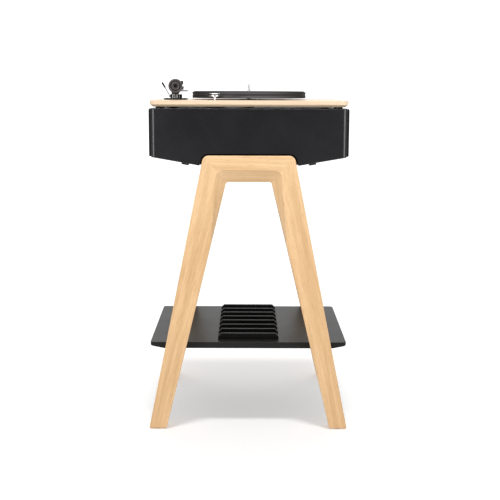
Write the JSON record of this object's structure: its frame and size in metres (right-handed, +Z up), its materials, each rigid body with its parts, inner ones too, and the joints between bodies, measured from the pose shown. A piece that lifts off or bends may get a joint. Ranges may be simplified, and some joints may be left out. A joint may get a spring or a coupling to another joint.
{
  "type": "speaker with turntable",
  "caption": "Free-standing loudspeaker cabinet on two wooden A-frames, with a belt-driven turntable on top and a shelf with record dividers between the legs.",
  "frame": {"origin": "on the floor, under the middle of the console", "axes": "+Z up, -Y towards the front, +X to the right, where the tonearm stands"},
  "size_m": [0.5088, 0.498, 0.892],
  "materials": {
    "oak": "oiled light oak",
    "oak_plate": "oiled light oak",
    "charcoal_lacquer": "satin charcoal lacquer",
    "black_lacquer": "satin black lacquer",
    "black_cloth": "woven loudspeaker cloth",
    "black_plastic": "matte black",
    "rubber": "matte black",
    "steel": "zinc plated",
    "polished_metal": "polished",
    "black_aluminium": "black anodised",
    "silver_aluminium": "satin",
    "grey_steel": "dark grey turned steel",
    "speaker_basket": "black",
    "speaker_cone": "pulp cone",
    "circuit_board": "green board",
    "copper_winding": "taped winding"
  },
  "bodies": {
    "console": {"rear_frame_rail": "oak", "rear_frame_right_leg": "oak", "rear_frame_left_leg": "oak", "front_frame_rail": "oak", "front_frame_right_leg": "oak", "front_frame_left_leg": "oak", "frame_bolts": "steel", "foot_glides": "rubber", "cabinet_shell": "charcoal_lacquer", "top_panel": "charcoal_lacquer", "underside_battens": "black_plastic", "right_woofer_baskets": "speaker_basket", "right_woofer_cones": "speaker_cone", "right_tweeter": "speaker_basket", "right_grille_frame": "black_plastic", "right_grille_cloth": "black_cloth", "left_woofer_baskets": "speaker_basket", "left_woofer_cones": "speaker_cone", "left_tweeter": "speaker_basket", "left_grille_frame": "black_plastic", "left_grille_cloth": "black_cloth", "shelf_board": "black_lacquer", "shelf_brackets": "steel", "record_divider_1": "black_lacquer", "record_divider_2": "black_lacquer", "record_divider_3": "black_lacquer", "record_divider_4": "black_lacquer", "record_divider_5": "black_lacquer", "record_divider_6": "black_lacquer", "record_divider_7": "black_lacquer", "record_divider_8": "black_lacquer", "turntable_plate": "oak_plate", "plate_dampers": "rubber", "bearing_housing": "black_aluminium", "motor_body": "steel", "drive_belt": "rubber", "arm_base": "black_plastic", "arm_pillar": "polished_metal", "arm_rest": "black_plastic", "lift_housing": "black_plastic", "antiskate_post": "black_plastic", "mains_transformer": "copper_winding", "amplifier_board": "circuit_board", "heat_sink": "black_aluminium", "power_inlet": "black_plastic", "audio_sockets": "polished_metal"},
    "platter": {"platter": "black_aluminium", "platter_mat": "rubber", "platter_spindle": "steel"},
    "pulley": {"motor_pulley": "polished_metal"},
    "yoke": {"arm_yoke": "black_aluminium"},
    "arm": {"arm_pivot_block": "black_aluminium", "arm_tube": "silver_aluminium", "headshell": "black_aluminium", "cartridge": "black_plastic"},
    "weight": {"counterweight": "grey_steel"},
    "lever": {"cue_lever": "black_plastic"},
    "lift": {"lift_bar": "black_aluminium"},
    "skate_knob": {"antiskate_knob": "black_plastic"},
    "switch": {"power_switch": "black_plastic"}
  },
  "joints": [
    {"name": "platter_spin", "type": "hinge", "parent": "console", "child": "platter", "pos_m": [0, 0, 0.843], "axis": [0, 0, 1], "continuous": true},
    {"name": "pulley_spin", "type": "hinge", "parent": "console", "child": "pulley", "pos_m": [0.087, 0.146, 0.8502], "axis": [0, 0, 1], "continuous": true},
    {"name": "arm_swing", "type": "hinge", "parent": "console", "child": "yoke", "pos_m": [0.19, 0.098, 0.853], "axis": [0, 0, -1], "range_deg": [0, 48]},
    {"name": "arm_lift", "type": "hinge", "parent": "yoke", "child": "arm", "pos_m": [0.19, 0.098, 0.874], "axis": [-0.9981, -0.061, 0], "range_deg": [0, 12]},
    {"name": "counterweight_slide", "type": "slide", "parent": "arm", "child": "weight", "axis": [-0.061, 0.9981, 0], "range_m": [-0.005, 0.005]},
    {"name": "cue_lever_tilt", "type": "hinge", "parent": "console", "child": "lever", "pos_m": [0.202, 0.063, 0.8485], "axis": [1, 0, 0], "range_deg": [0, 60]},
    {"name": "lift_bar_rise", "type": "slide", "parent": "console", "child": "lift", "axis": [0, 0, 1], "range_m": [0, 0.005]},
    {"name": "antiskate_turn", "type": "hinge", "parent": "yoke", "child": "skate_knob", "pos_m": [0.17353, 0.09699, 0.8813], "axis": [0, 0, 1], "range_deg": [0, 270]},
    {"name": "power_rock", "type": "hinge", "parent": "console", "child": "switch", "pos_m": [-0.0495, -0.11, 0.6808], "axis": [1, 0, 0], "range_deg": [-7, 7]}
  ],
  "couplings": [
    {"joint": "pulley_spin", "follows": "platter_spin", "ratio": 12.639},
    {"joint": "lift_bar_rise", "follows": "cue_lever_tilt", "m_per_rad": 0.0047746}
  ]
}
